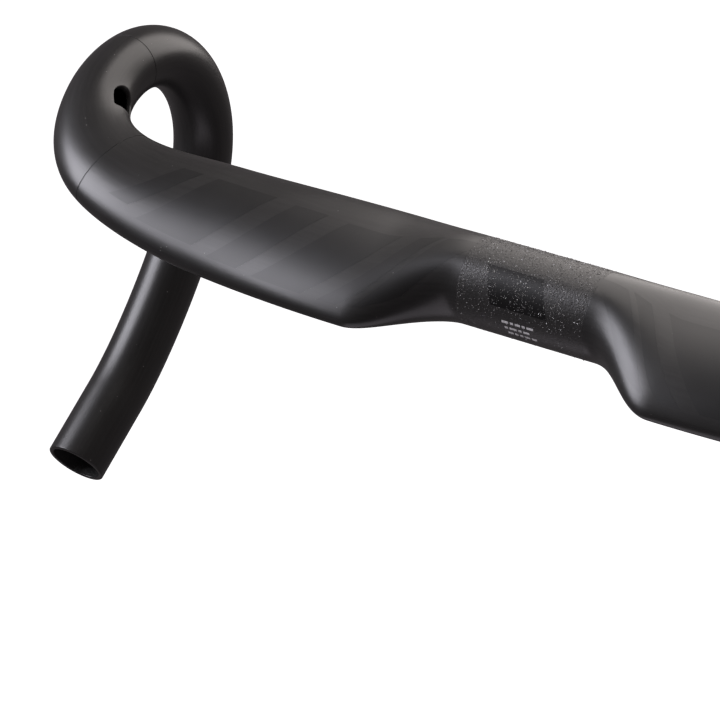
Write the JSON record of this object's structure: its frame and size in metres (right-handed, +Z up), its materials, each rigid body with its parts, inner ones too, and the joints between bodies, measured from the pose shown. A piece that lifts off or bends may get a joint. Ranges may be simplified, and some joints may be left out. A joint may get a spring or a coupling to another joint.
{
  "type": "drop handlebar",
  "caption": "Road drop handlebar with flattened aero tops, round stem clamp zone, compact hooks, open bar ends and cable ports.",
  "frame": {"origin": "centre of the stem clamp zone, on its axis", "axes": "+X to the rider's right along the clamp axis, +Y forward (the way the bar reaches), +Z up"},
  "size_m": [0.4474, 0.1436, 0.1525],
  "materials": {
    "carbon_shell": "satin clear-coated carbon laminate",
    "inner_laminate": "raw matte carbon laminate",
    "adhesive": "cured black epoxy",
    "anti_slip_coating": "satin coating with hard clear grains"
  },
  "bodies": {
    "root": {"wing_top": "carbon_shell", "clamp_grip_coating": "anti_slip_coating", "clamp_reinforcement_sleeve": "inner_laminate", "left_bend": "carbon_shell", "left_drop": "carbon_shell", "left_wing_joint_sleeve": "inner_laminate", "left_hook_joint_sleeve": "inner_laminate", "left_wing_bond_line": "adhesive", "left_hook_bond_line": "adhesive", "right_bend": "carbon_shell", "right_drop": "carbon_shell", "right_wing_joint_sleeve": "inner_laminate", "right_hook_joint_sleeve": "inner_laminate", "right_wing_bond_line": "adhesive", "right_hook_bond_line": "adhesive"}
  },
  "joints": []
}
